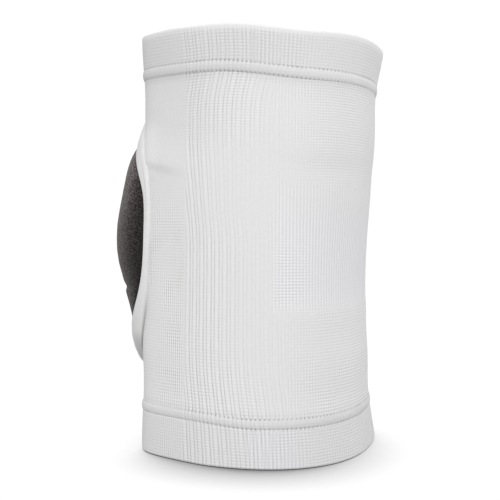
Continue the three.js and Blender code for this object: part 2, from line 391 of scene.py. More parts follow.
# Hems: the knit turned over at each end and held by a raised seam with stitches on either side
hem = {
    # band width at the front and the back, and the angles between which it changes
    "bottomBand": (21.6, 19.8, 85, 115),
    "topBand": (17.1, 19.2, 80, 150),
    "columns": 1180,
    # section of the band, the raised seam and the rounded free edge
    "proud": 0.3,
    "bandBulge": 0.16,
    "ridge": 5.3,
    "ridgeProud": 0.86,
    "ridgeFoot": 0.2,
    "innerFace": -3.5,
    "edgeRound": 1.2,
    "roundPower": 0.75,
    # needle holes
    "stitchPitch": 2.2,
    "holeRows": (0.05, 5.0),
    "holeDepth": 0.35,
    "holeAlong": 0.42,
    "holeAcross": 0.5,
    "offSeam": -9,
    # ribs and the fine panel where they run on over the hem
    "ribShare": 0.6,
    "ridgeDepthLoss": 0.5,
    "ridgeRibLoss": 0.4,
    "fineDepth": 0.16,
    "backSink": 0.3,
    # sway of the top rim: height of each wave, how often it comes round the leg and where it starts
    "waves": [(0.2, 3, 0.6), (0.12, 7, 2)],
    # height of each lift, its angle and its half span
    "lifts": [(0.75, 72, 10), (0.15, 100, 18), (-0.7, 138, 16)],
    "swayReach": 12,
}
stitchCount = round(halfGirth / hem["stitchPitch"])
stitchPitch = halfGirth / stitchCount


def bandAt(band, angle):
    front, back, changeFrom, changeTo = band
    return blend(front, back, smoothStep(np.abs(angle), changeFrom, changeTo))


# The plain front, which ends where the ribs start
def frontShare(angle):
    return smoothStep(np.abs(angle), 79, 76)


# Strength of the knit's columns and rows: smooth above the knee, meshed below it and at the back
def sleeveGrain(angle, z):
    away = np.abs(angle)
    arc = arcAt(angle)
    panel = panelShare(angle, z)
    below = smoothStep(z, 142, 116)
    front = frontShare(angle)
    back = smoothStep(arc, 132, 162)
    nearHems = 1 - smoothStep(z, 34, 90) * smoothStep(z, 190, 148)
    corner = smoothStep(away, 69, 59) * smoothStep(z, 100, 78)
    wale = front * (0.05 + below * 0.85) * (1 - 0.85 * corner)
    wale = wale + smoothStep(arc, 116, 140) * (0.1 + nearHems * 0.17)
    course = front * (0.06 + below * 0.56) * (1 - 0.6 * corner)
    course = course + back * (0.32 + nearHems * 0.43)
    acrossRibs = 0.1 + nearHems * 0.4 + smoothStep(z, 160, 178) * 0.4
    course = course + ribField(angle, z, False)[1] * (1 - back) * acrossRibs
    lowPanel = smoothStep(z, 122, 102) * smoothStep(away, 148, 128)
    course = course * (0.1 + (1 - panel) * 0.9) + 0.8 * lowPanel * panel
    return wale * (1 - panel), course


def hemGrain(angle, atTop):
    away = np.abs(angle)
    front = frontShare(angle)
    frontWale = 0.16 if atTop else 0.1 + smoothStep(away, 62, 70) * 0.55
    backWale = smoothStep(away, 138, 150) * 0.33
    return front * frontWale + backWale, 0.56 - front * 0.18


# White knit of the sleeve and hems: small loops in columns and rows, paired ribs and a finer panel
knitLook = {
    "dark": (0.42, 0.415, 0.415, 1),
    "bright": (0.935, 0.933, 0.932, 1),
    "panelBright": (0.945, 0.945, 0.967, 1),
    "hemBright": (0.866, 0.865, 0.866, 1),
    "hemPanelBright": (0.866, 0.866, 0.886, 1),
    # colour of the painted highlight on the rolled top edge of the top hem
    "foldHighlight": (0.95, 0.95, 0.946, 1),
    # colour of the painted shadow in the needle holes
    "holeShadow": (0.16, 0.155, 0.15, 1),
    "level": 0.8,
    # pitch of the columns and rows, how far they wander and how much each pattern shows
    "wale": 1.35,
    "backWale": 1.6,
    "hemCourse": 1.52,
    "drift": 0.6,
    "waleShade": 0.54,
    "courseShade": 0.36,
    "fineShade": 0.26,
    "speckShade": 0.12,
    # strength of the painted shade and light of the knit
    "paintedShadingStrength": 0.07,
    # strength of the painted shade in the rib valleys
    "ribValleyShade": 0.58,
    "ribPower": 20,
    # raised seam with its twist, and the needle holes beside it with painted shadow in them
    "ridgeShade": 0.16,
    "twistLean": 1.2,
    "twistPitch": 1.1,
    "rowReach": (0.75, 0.1),
    "holePower": 5,
    "holeShade": 0.6,
    "relief": 0.12,
    "constants": {"Specular IOR Level": 0.25},
}


def knitFinish(name, onHem):
    material, board = newFinish(name)
    look = knitLook
    arc, up = board.uv("knit")
    ribNumber, ribShare = board.uv("rib")
    fineShare, seamIn = board.uv("mask")
    waleShare, courseShare = board.uv("grain")
    place = board.place()
    drift = (board.noise(place, 60, 2) - 0.5) * look["drift"]
    patch = board.ease(board.noise(place, 95, 3), 0.32, 0.68)
    speck = board.noise(place, 700, 2) - 0.5
    fibre = board.noise(place, 2600, 3)

    # columns and rows, which on the sleeve lie closer together towards the top
    courseTurns = up / look["hemCourse"] if onHem else up * (0.568 + up * 0.000375)
    course = (board.wave(courseTurns + drift) - 0.5) * courseShare
    atBack = board.ease(arc, 100, 101)
    waleTurns = arc * blend(1 / look["wale"], 1 / look["backWale"], atBack)
    wale = (board.wave(waleTurns + drift) - 0.5) * waleShare
    fineWale = (board.wave(arc / ribs["finePitch"]) - 0.5) * fineShare

    # paired ribs: painted shade in their valleys and a little painted light on the ribs between them,
    # which shows unevenly along their length
    swaySpot = board.node("ShaderNodeCombineXYZ", None, {"X": ribNumber * 0.8, "Y": up * 0.07})
    ribStrength = 0.6 + board.ease(board.noise(swaySpot, 1, 2), 0.3, 0.7) * 0.7
    pair = ribNumber * 0.5
    shallow = board.wave(pair - ribs["second"] / 2) ** look["ribPower"] * ribs["secondDepth"]
    valleyShade = board.wave(pair) ** look["ribPower"] + shallow
    valleyShade = (valleyShade - 0.22) * ribShare * ribStrength

    # the raised seam between its rows of needle holes, with painted shadow in the holes
    onRidge = board.ease(seamIn, -0.3, 0.7) * board.ease(seamIn, 5.3, 4.4)
    twist = (board.wave((arc + seamIn * look["twistLean"]) / look["twistPitch"]) - 0.5) * onRidge
    fromRows = [board.math("ABSOLUTE", seamIn - row) for row in hem["holeRows"]]
    firstRow, secondRow = (board.ease(away, *look["rowReach"]) for away in fromRows)
    stitched = 0.15 + board.ease(arc, 72, 96) * 0.85
    holeShadow = board.wave(arc / stitchPitch + 0.5) ** look["holePower"] * (firstRow + secondRow) * stitched

    # painted shade and light on the knit: on the sleeve, painted shade over the upper front, beside the
    # hem seams and in a line along their rows, and painted light beside the pad; on the hems, painted
    # shade over the front of the top hem and in a line along the rows, painted shade along the first row
    # of the top hem and painted light along that of the bottom hem, darker at the back of the bottom hem
    # and lighter at the back of the top hem
    nearTop = board.ease(up, 152, 174)
    # painted shadow in a line along the row of holes beside the knit
    rowShadowLine = secondRow * (0.35 + board.ease(arc, 58, 76) * 0.65 - board.ease(arc, 112, 150) * 0.45)
    if onHem:
        upLeg = board.ease(up, 60, 160)
        paintedShading = nearTop * board.ease(arc, 92, 66) + firstRow * (upLeg * 2.52 - 0.7) + rowShadowLine * 2.24
        paintedShading += board.ease(arc, 120, 165) * (1 - upLeg * 3)
    else:
        # painted light on the sleeve beside the pad, and painted shade beside the hem seams, stronger
        # under the top seam at the front
        besidePadLight = board.ease(up, 146, 151) * board.ease(up, 180, 168) * board.ease(arc, 68, 56)
        underSeamShadow = board.ease(seamIn, 10, 5.4) * (1.4 + nearTop * board.ease(arc, 104, 84))
        paintedShading = nearTop * board.ease(arc, 116, 84) - besidePadLight * 2.2 + underSeamShadow + rowShadowLine * 2.4

    mesh = (wale * look["waleShade"] + course * look["courseShade"]) * (0.3 + patch * 1.2)
    tone = look["level"] + speck * look["speckShade"] - paintedShading * look["paintedShadingStrength"]
    tone += mesh * (1 - onRidge * 0.6)
    tone -= valleyShade * look["ribValleyShade"] * (1 + course * (0.6 + patch * 2.4))
    tone += fineWale * look["fineShade"] + twist * look["ridgeShade"]
    plainName, panelName = ("hemBright", "hemPanelBright") if onHem else ("bright", "panelBright")
    bright = board.mixColour(fineShare * board.ease(up, 190, 160), look[plainName], look[panelName])
    colour = board.mixColour(tone, look["dark"], bright)
    if onHem:
        # painted highlight along the rolled fold at the top edge of the top hem
        topFoldHighlight = board.ease(up, 215.6, 219.2) * (0.5 + board.ease(arc, 84, 104) * 0.4)
        colour = board.mixColour(topFoldHighlight, colour, look["foldHighlight"])
    colour = board.mixColour(holeShadow * (0.5 + patch * 0.7) * look["holeShade"], colour, look["holeShadow"])
    loops = (wale * 0.7 + course * 0.6) * (1 - onRidge) + twist * 0.6 + fibre * 0.25
    board.cloth(colour, 0.84 + fibre * 0.14, loops, look["relief"], look["constants"])
    return material


# Sleeve: a knitted tube whose ends are tucked into the hems
sleeve = {
    "tuck": 0.7,
    "wall": 2,
    "rows": 128,
    "innerRows": 9,
    # width of the columns at the front, over the ribs and at the back, and how far the rib columns go
    "frontColumn": 0.9,
    "ribColumn": 0.32,
    "backColumn": 0.6,
    "ribLead": 3,
    "ribSpan": 52,
    "panelStart": 119,
    "panelBottom": 76,
    "panelTop": 147,
    "panelDepth": 0.2,
    "panelEdge": 7,
    "fineLoss": 0.35,
    # between the hems the knit lies a little further in and ripples
    "inset": 0.2,
    "ripple": 0.22,
    # angle from the front, height, half span in angle and in height, depth; each ends at two half spans
    "dents": [
        (71, 92, 7, 22, 0.6),
        (50, 56, 10, 14, -0.8),
        (150, 150, 26, 8, 0.7),
        (160, 62, 24, 12, 0.5),
    ],
    # a soft fold beside the pad: angle, height, half span in angle, swell above it, fall for each degree
    "fold": (60, 151.2, 13, 1.5, 0.2),
    # flat height in metres, from hem to hem with both tucks
    "flatHeight": 0.182,
}


def panelShare(angle, z):
    edge = sleeve["panelEdge"]
    around = smoothStep(np.abs(angle), sleeve["panelStart"], sleeve["panelStart"] + edge)
    low = smoothStep(z, sleeve["panelBottom"], sleeve["panelBottom"] + edge)
    high = smoothStep(z, sleeve["panelTop"], sleeve["panelTop"] - edge)
    return around * low * high


def knitSag(angle, z):
    depth = sleeve["panelDepth"] * panelShare(angle, z)
    for middle, height, halfAngle, halfHeight, deep in sleeve["dents"]:
        spread = ((np.abs(angle) - middle) / halfAngle) ** 2 + ((z - height) / halfHeight) ** 2
        depth = depth + np.where(spread < 4, deep * np.exp(-spread) * (1 - spread / 4), 0)
    middle, height, halfAngle, swell, fall = sleeve["fold"]
    away = np.abs(angle) - middle
    above = z - height + fall * away
    lump = smoothStep(above, -2.8, 2.8) * smoothStep(above, 24, 3.5)
    return depth - swell * lump * bell(away, halfAngle)


def sleeveColumns():
    ribFrom = arcAt(ribs["startAngle"] - sleeve["ribLead"])
    ribTo = ribFrom + sleeve["ribSpan"]
    front = np.arange(0, ribFrom, sleeve["frontColumn"])
    middle = np.arange(ribFrom, ribTo, sleeve["ribColumn"])
    back = np.linspace(ribTo, halfGirth, int((halfGirth - ribTo) / sleeve["backColumn"]))
    return mirroredAngles(np.concatenate((front, middle, back)))


def makeSleeve(material):
    angle = sleeveColumns()[None, :]
    low = bandAt(hem["bottomBand"], angle)
    high = legForm["height"] - bandAt(hem["topBand"], angle)
    up = np.concatenate((np.linspace(0, 1, sleeve["rows"]), np.linspace(1, 0, sleeve["innerRows"])))
    outside = (np.arange(len(up)) < sleeve["rows"])[:, None]
    z = blend(low + sleeve["tuck"], high - sleeve["tuck"], up[:, None])
    number, share = ribField(angle, z, False)
    panel = panelShare(angle, z)
    clearOfHems = smoothStep(z, 22, 36) * smoothStep(z, 200, 186)
    ripple = sleeve["ripple"] * np.sin(np.radians(angle) * 5 + z / 23) * np.sin(z / 31 + 1)
    relief = ribs["depth"] * share * ribValley(number) + ribs["fineDepth"] * panel * fineValley(angle)
    relief = relief + clearOfHems * (sleeve["inset"] + ripple)
    points = legPoint(angle, z, -knitSag(angle, z) - np.where(outside, relief, sleeve["wall"]))
    fine = panel * (1 - sleeve["fineLoss"] * smoothStep(z, 118, 138))
    uvMaps = {
        "knit": (arcAt(angle), z),
        "rib": (number, share),
        "mask": (fine, np.minimum(z - low, high - z)),
        "grain": sleeveGrain(angle, z),
    }
    piece = ringPiece("sleeve_cloth", points, uvMaps, material)
    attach(piece, "root")
    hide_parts("knit_sleeve")
    return piece


# Cross-section of a hem: distance in from the free edge and height above the knit, outside first
def hemProfile(band):
    lip = band + hem["ridge"]
    turn = np.radians(np.linspace(-90, 90, 17))
    middleOut = (hem["proud"] + hem["innerFace"]) / 2
    halfThick = (hem["proud"] - hem["innerFace"]) / 2
    edgeRound = hem["edgeRound"]
    edgeIn = edgeRound * (1 - np.cos(turn))
    edgeOut = middleOut + halfThick * np.sign(turn) * np.abs(np.sin(turn)) ** hem["roundPower"]
    bandIn = np.linspace(edgeRound + 0.7, band - 1.6, 16)
    ridgeIn = band + np.linspace(-1.2, hem["ridge"] - 0.06, 24)
    outerIn = np.concatenate((bandIn, ridgeIn))
    pastBand = outerIn - band
    bandBulge = hem["bandBulge"] * np.sin(np.pi * np.clip(outerIn / band, 0, 1))
    footDrop = (hem["proud"] - hem["ridgeFoot"]) * smoothStep(pastBand, -0.5, 0.3)
    across = np.clip(pastBand / hem["ridge"], 0, 1)
    ridgeRise = (hem["ridgeProud"] - hem["ridgeFoot"]) * np.sin(np.pi * across) ** hem["roundPower"]
    groove = 0.12 * bell(pastBand, 0.4)
    outer = np.stack((outerIn, hem["proud"] + bandBulge - footDrop + ridgeRise - groove), axis=-1)
    # slot that takes the end of the sleeve
    slotEnd = band + 0.4
    innerLip = lip - 0.8
    slot = [
        (lip, 0), (lip - 0.1, -0.3), (slotEnd, -0.3),
        (slotEnd, -2.3), (innerLip, -2.3), (innerLip, -3.3),
    ]
    innerIn = np.linspace(lip - 1.4, edgeRound + 0.7, 7)
    inner = np.stack((innerIn, np.full_like(innerIn, hem["innerFace"])), axis=-1)
    edge = np.stack((edgeIn, edgeOut), axis=-1)
    return np.concatenate((edge, outer, np.array(slot), inner))


# Share of a needle hole at a point of the hem, one hole between each two stitches of both rows
def needleHole(arc, seamIn):
    along = (np.mod(arc / stitchPitch, 1) - 0.5) * stitchPitch
    across = sum(bell(seamIn - row, hem["holeAcross"]) for row in hem["holeRows"])
    return bell(along, hem["holeAlong"]) * across


# How far the top rim stands above its even line
def rimSway(angle):
    sway = np.zeros(angle.shape)
    for height, count, start in hem["waves"]:
        sway += height * np.sin(np.radians(angle) * count + start)
    for height, middle, halfAngle in hem["lifts"]:
        sway += height * bell(np.abs(angle) - middle, halfAngle)
    return sway


def makeHem(name, node, band, atTop, material):
    angle = mirroredAngles(np.linspace(0, halfGirth, hem["columns"] // 2 + 1))[None, :]
    away = np.abs(angle)
    arc = arcAt(angle)
    wide = bandAt(band, angle)
    towardsBack = (wide - band[0]) / (band[1] - band[0])
    frontLoop, backLoop = hemProfile(band[0]), hemProfile(band[1])
    inset, out = (blend(frontLoop[:, [k]], backLoop[:, [k]], towardsBack) for k in (0, 1))
    z = legForm["height"] - inset if atTop else inset
    seamIn = inset - wide
    outside = (out > -0.25) & (seamIn < hem["ridge"] - 0.01)
    number, share = ribField(angle, z, True)
    onBand = smoothStep(inset, 0.8, 3) * outside
    onRidge = smoothStep(seamIn, -0.4, 0.8)
    ribDepth = ribs["depth"] * hem["ribShare"] * onBand * (1 - hem["ridgeDepthLoss"] * onRidge)
    fine = smoothStep(away, 107, 113) * smoothStep(away, 150, 127)
    fineDepth = hem["fineDepth"] * fine * onBand * (1 - onRidge)
    height = out - ribDepth * share * ribValley(number) - fineDepth * fineValley(angle)
    height = height - hem["holeDepth"] * needleHole(arc, seamIn) * outside
    height = height - hem["backSink"] * smoothStep(away, 140, 172) * outside
    points = legPoint(angle, z, height)
    if atTop:
        points[..., 2] += rimSway(angle) * smoothStep(inset, hem["swayReach"], 0)
    uvMaps = {
        "knit": (arc, z),
        "rib": (number, share * (1 - hem["ridgeRibLoss"] * onRidge)),
        "mask": (fine * (1 - onRidge), np.where(outside, seamIn, hem["offSeam"])),
        "grain": hemGrain(angle, atTop),
    }
    piece = ringPiece(name, points, uvMaps, material)
    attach(piece, "root")
    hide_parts(node)
    return piece


# Stitches: rounded bars of thread that lie along the seams and stand up a little in the middle
stitch = {
    "length": 1.5,
    "width": 0.4,
    "rings": 6,
    "sides": 8,
    "rise": 0.22,
    # height above the knit of the first and the second row
    "rowOuts": (-0.3, -0.05),
    "halfStep": 0.2,
    "dark": (0.70, 0.695, 0.69, 1),
    "light": (0.84, 0.838, 0.834, 1),
    "relief": 0.12,
}


# One bar at each centre, from its direction along the seam and out from the knit
def threadBars(centres, along, outward):
    rings = np.linspace(-0.94, 0.94, stitch["rings"])
    sides = stitch["sides"]
    length = stitch["length"]
    turns = np.arange(sides) / sides * fullTurn
    beside = np.cross(along, outward)
    radius = stitch["width"] / 2 * (1 - rings**4) ** 0.5
    ringPlace = centres[:, None, :] + along[:, None, :] * (rings * length / 2)[None, :, None]
    ringPlace += outward[:, None, :] * (stitch["rise"] * (1 - rings**2))[None, :, None]
    spoke = outward[:, None, :] * np.cos(turns)[None, :, None]
    spoke += beside[:, None, :] * np.sin(turns)[None, :, None]
    walls = ringPlace[:, :, None, :] + spoke[:, None, :, :] * radius[None, :, None, None]
    tips = centres[:, None, :] + along[:, None, :] * np.array([-0.5, 0.5])[None, :, None] * length
    count = len(centres)
    points = np.concatenate((walls.reshape(count, -1, 3), tips), axis=1)
    faces = []
    firstTip = stitch["rings"] * sides
    lastRing = firstTip - sides
    for bar in range(count):
        base = bar * (firstTip + 2)
        for side in range(sides):
            beyond = (side + 1) % sides
            for ring in range(base, base + lastRing, sides):
                faces.append((ring + side, ring + side + sides, ring + beyond + sides, ring + beyond))
            faces.append((base + firstTip, base + side, base + beyond))
            faces.append((base + firstTip + 1, base + lastRing + beyond, base + lastRing + side))
    return points.reshape(-1, 3), faces


def threadFinish():
    material, board = newFinish("white_thread")
    fibre = board.noise(board.place(), 3800, 3)
    colour = board.mixColour(fibre, stitch["dark"], stitch["light"])
    board.cloth(colour, 0.7 + fibre * 0.2, fibre, stitch["relief"], {})
    return material


# The two rows of stitches beside each hem's raised seam
def makeHemStitches(name, band, atTop, material):
    half = angleAt(np.arange(stitchCount) * stitchPitch)
    angle = np.concatenate((half, -half[1:], [180]))
    step = stitch["halfStep"]
    rows = []
    for row, out in zip(hem["holeRows"], stitch["rowOuts"]):
        inset = bandAt(band, angle) + row
        z = legForm["height"] - inset if atTop else inset
        centres = legPoint(angle, z, out)
        along = unit(legPoint(angle + step, z, out) - legPoint(angle - step, z, out))
        outward = unit(legPoint(angle, z, out + 1) - centres)
        rows.append((centres, along, outward))
    points, faces = threadBars(*[np.concatenate(parts) for parts in zip(*rows)])
    piece = meshPiece(name, points, faces, {}, material)
    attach(piece, "root")
    return piece


# Border: a plump white rim sewn round the pad, narrow at the sides and full at the bottom
border = {
    "middle": 114,
    "ovalPower": 2.6,
    "halfWidth": 57.4,
    "heightAbove": 79.5,
    "heightBelow": 81,
    "innerHalfWidth": 54.2,
    "innerHalfHeight": 60.5,
    "steps": 480,
    "samples": 40,
    "underside": -0.6,
    # how far the lower part hangs out over its seam, and where
    "overhang": 0.05,
    "overhangAt": 0.1,
    "overhangSpan": 0.07,
    # share of the way in from the outer seam, then the height at the sides, the top and the bottom
    "profile": [
        (0, -0.6, -0.6, -0.6),
        (0.03, 0.2, 0, 0.9),
        (0.1, 1.3, 1.1, 5),
        (0.24, 1.9, 3, 10.2),
        (0.42, 2.3, 5, 13),
        (0.64, 2.6, 7.1, 15.2),
        (0.86, 2.7, 8.8, 15.8),
        (1, 2.3, 8.9, 14.6),
    ],
    "topPower": 2,
    "bottomPower": 2.4,
    # a shallow dip on each side, above the middle, with its place and span in radians
    "dip": 1.2,
    "dipTurn": 0.28,
    "dipSpan": 0.24,
}


def borderHeight(inward, turn):
    table = np.array(border["profile"], dtype=float)
    side, top, bottom = (np.interp(inward, table[:, 0], table[:, column]) for column in (1, 2, 3))
    topShare = np.maximum(np.sin(turn), 0) ** border["topPower"]
    bottomShare = np.maximum(-np.sin(turn), 0) ** border["bottomPower"]
    fromDip = np.arcsin(np.sin(turn)) - border["dipTurn"]
    dip = border["dip"] * bell(fromDip, border["dipSpan"]) * smoothStep(inward, 0.1, 0.5)
    return side + (top - side) * topShare + (bottom - side) * bottomShare - dip


# The front of the knit at a distance across from its middle line
def frontAngle(across):
    return np.sign(across) * angleAt(np.abs(across))


def borderPoint(inward, turn, height):
    reach = 2 / border["ovalPower"]
    cosine = np.sign(np.cos(turn)) * np.abs(np.cos(turn)) ** reach
    sine = np.sign(np.sin(turn)) * np.abs(np.sin(turn)) ** reach
    outerHeight = np.where(np.sin(turn) > 0, border["heightAbove"], border["heightBelow"])
    across = cosine * blend(border["halfWidth"], border["innerHalfWidth"], inward)
    up = sine * blend(outerHeight, border["innerHalfHeight"], inward)
    return legPoint(frontAngle(across), border["middle"] + up, height)


# White knit of the border, with heights in metres
borderLook = {
    "pale": (0.86, 0.858, 0.855, 1),
    "gap": (0.6, 0.595, 0.59, 1),
    # colour of the painted shadow at the seam and under the lip
    "sewn": (0.3, 0.295, 0.29, 1),
    "wale": 1.1,
    "row": 0.9,
    # painted shadow along the seam at the sides and lower down, then painted shade under the lip at the
    # bottom
    "sideShade": 0.15,
    "lowShade": 0.6,
    "lipShade": 0.35,
    "relief": 0.09,
}


def borderFinish():
    material, board = newFinish("border_knit_cloth")
    look = borderLook
    along, inward = board.uv("rim")
    place = board.place()
    height = board.axis(place, "Z")
    fibre = board.noise(place, 2600, 3)
    patch = board.noise(place, 45, 2)
    wale = board.wave(along / look["wale"])
    row = board.wave(inward / look["row"] + 0.25 * wale)
    gap = (1 - wale) * (1 - row) * (0.1 + patch * 0.3)
    # painted shadow along the seam, and painted shade under the lip at the bottom
    sewn = board.ease(height, 0.122, 0.108) * look["sideShade"]
    sewn += board.ease(height, 0.092, 0.064) * look["lowShade"]
    sewn *= board.ease(inward, 2.8, 1.0) * board.ease(height, 0.04, 0.05)
    underLipShadow = board.ease(inward, 12, 3) * board.ease(height, 0.066, 0.056)
    colour = board.mixColour(gap, look["pale"], look["gap"])
    colour = board.mixColour(sewn + underLipShadow * look["lipShade"], colour, look["sewn"])
    loops = (wale + row) * 0.5 + fibre * 0.3
    board.cloth(colour, 0.85 + fibre * 0.1, loops, look["relief"], knitLook["constants"])
    return material


def makeBorder(material):
    turn = (np.arange(border["steps"]) / border["steps"] * fullTurn)[None, :]
    over = np.linspace(0, 1, border["samples"])[:, None] ** 1.5
    under = np.linspace(0.96, 0.05, 6)[:, None]
    lip = border["overhang"] * np.maximum(-np.sin(turn), 0) ** 1.5
    lip = lip * bell(over - border["overhangAt"], border["overhangSpan"])
    top = borderPoint(over - lip, turn, borderHeight(over, turn))
    bottom = borderPoint(under, turn, np.full_like(under * turn, border["underside"]))
    along = np.concatenate(([0], np.cumsum(np.linalg.norm(np.diff(top[0], axis=0), axis=1))))
    aroundHalf = np.minimum(along, along[-1] - along)
    climb = np.linalg.norm(np.diff(top, axis=0), axis=2).cumsum(axis=0)
    fromSeam = np.concatenate((0 * turn, climb, climb[-1:] + 0 * under))
    uvMaps = {"rim": (aroundHalf, fromSeam)}
    piece = ringPiece("pad_rim", np.concatenate((top, bottom)), uvMaps, material)
    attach(piece, "root")
    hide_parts("pad_border")
    return piece


# Pad: a foam dome under a charcoal cover, pressed in along a flex line
pad = {
    "halfWidth": 53.7,
    "halfHeight": 60,
    # height of the edge at the sides, the top and the bottom
    "sideEdge": 2,
    "topEdge": 8.4,
    "bottomEdge": 13.4,
    "crownPower": 3.2,
    "underGap": 0.45,
    "flexLine": -26.8,
    "flexWidth": 1.3,
    "flexDepth": 2.6,
    "quads": 76,
    # swelling of the cover, held at its rim and along the flex line
    "startShare": 0.965,
    "frames": 20,
    "mostSwell": 2.2,
    "cloth": {
        "quality": 6,
        "mass": 0.25,
        "tension_stiffness": 12,
        "compression_stiffness": 12,
        "shear_stiffness": 8,
        "bending_stiffness": 0.6,
        "use_pressure": True,
        "uniform_pressure_force": 4,
    },
    "flexHold": 0.9,
    "flexHoldWidth": 1.6,
    # height from the middle, crown height above the knit
    "rows": [
        (-60, 13.4), (-55, 13.5), (-51, 13.8), (-46.5, 14.5), (-41, 16), (-35, 18.6),
        (-29.5, 21.2), (-24.5, 22.2), (-20, 24), (-14, 26.6), (-7, 28.2), (0, 28.5),
        (7, 28), (14, 26.4), (22, 24.3), (30, 22.6), (38, 21.8), (45, 20.3),
        (50.5, 18), (55, 15.4), (58, 12), (59.5, 9.6), (60, 8.4),
    ],
}


def padHeight(across, up, grow):
    rows = np.array(pad["rows"], dtype=float)
    power = border["ovalPower"]
    atTop = up > 0
    towardsEnd = np.abs(up) / pad["halfHeight"]
    crown = np.interp(up, rows[:, 0], rows[:, 1])
    reach = np.clip(1 - towardsEnd**power, 1e-6, 1) ** (1 / power)
    share = np.clip(np.abs(across) / (pad["halfWidth"] * reach), 0, 1)
    endEdge = np.where(atTop, pad["topEdge"], pad["bottomEdge"])
    endShare = towardsEnd ** np.where(atTop, border["topPower"], border["bottomPower"])
    edge = blend(pad["sideEdge"], endEdge, endShare)
    dome = np.maximum(crown - edge, 0) * (1 - share ** pad["crownPower"])
    pressed = bell(up - pad["flexLine"], pad["flexWidth"])
    return edge + dome * grow - pad["flexDepth"] * pressed * (1 - share**4)


# Charcoal fabric of the pad: a brushed twill, with painted shade low down and painted shadow towards the
# sides where it meets the border
padLook = {
    "darkest": (0.025, 0.0178, 0.0178, 1),
    "dark": (0.042, 0.0312, 0.0312, 1),
    "light": (0.205, 0.176, 0.175, 1),
    "hair": (0.30, 0.275, 0.272, 1),
    # colour of the painted shade
    "shade": (0.004, 0.003, 0.003, 1),
    # pitch across and up of the two diagonals of the weave
    "twill": (2.3, 1.7),
    "counter": (3.1, 1.25),
    "hairShare": 0.45,
    "sideShade": 0.75,
    "relief": 0.3,
    "constants": {
        "Specular IOR Level": 0.2,
        "Sheen Weight": 0.22,
        "Sheen Roughness": 0.45,
        "Sheen Tint": (1.0, 0.97, 0.96, 1),
    },
}


def padFinish():
    material, board = newFinish("charcoal_cover")
    look = padLook
    across, up = board.uv("weave")
    place = board.place()
    fibre = board.noise(place, 2200, 4)
    speck = board.noise(place, 900, 2)
    patch = board.noise(place, 55, 3)
    twill = board.wave(across / look["twill"][0] + up / look["twill"][1])
    counter = board.wave(up / look["counter"][1] - across / look["counter"][0])
    light = board.ease(twill * 0.14 + counter * 0.12 + speck * 1.3, 0.58, 1)
    hair = board.ease(fibre, 0.6, 0.78) * look["hairShare"]
    # painted shadow along the groove beside the border, and painted shade low down, lighter towards the
    # top
    besideBorderShade = board.ease(board.math("ABSOLUTE", across), 43, 53)
    lit = 0.6 + board.ease(up, -14, 30) * 0.46
    colour = board.mixColour(patch, look["darkest"], look["dark"])
    colour = board.mixColour(light, colour, look["light"])
    colour = board.mixColour(hair, colour, look["hair"])
    colour = board.mixColour(lit * (1 - besideBorderShade * look["sideShade"]), look["shade"], colour)
    nap = twill * 0.6 + counter * 0.3 + fibre * 0.7
    board.cloth(colour, 0.88 + fibre * 0.1, nap, look["relief"], look["constants"])
    return material


# Swells the cover by a cloth simulation under pressure, held at the rim, the flex line and underneath
def swellPad(piece, movable):
    before = np.empty(len(piece.data.vertices) * 3)
    piece.data.vertices.foreach_get("co", before)
    held = piece.vertex_groups.new(name="held")
    for index, free in enumerate(movable.tolist()):
        held.add([index], 1 - free, "REPLACE")
    cloth = piece.modifiers.new("swell", "CLOTH")
    for key, value in pad["cloth"].items():
        setattr(cloth.settings, key, value)
    cloth.settings.vertex_group_mass = "held"
    cloth.settings.effector_weights.gravity = 0
    cloth.collision_settings.use_collision = False
    for step in range(1, pad["frames"] + 1):
        scene.frame_set(step)
    after = np.empty_like(before)
    shown = piece.evaluated_get(bpy.context.evaluated_depsgraph_get())
    shown.data.vertices.foreach_get("co", after)
    move = (after - before).reshape(-1, 3)
    far = np.linalg.norm(move, axis=1, keepdims=True)
    cap = pad["mostSwell"] * mm
    move = move * np.minimum(1, cap / np.maximum(far, 1e-9))
    piece.modifiers.remove(cloth)
    scene.frame_set(1)
    piece.data.vertices.foreach_set("co", before + move.ravel())
    piece.data.update()
    most, average = far.max() / mm, np.mean(far) / mm
    print(f"pad cover swollen, up to {most:.2f} mm before the cap, {average:.2f} mm on average")


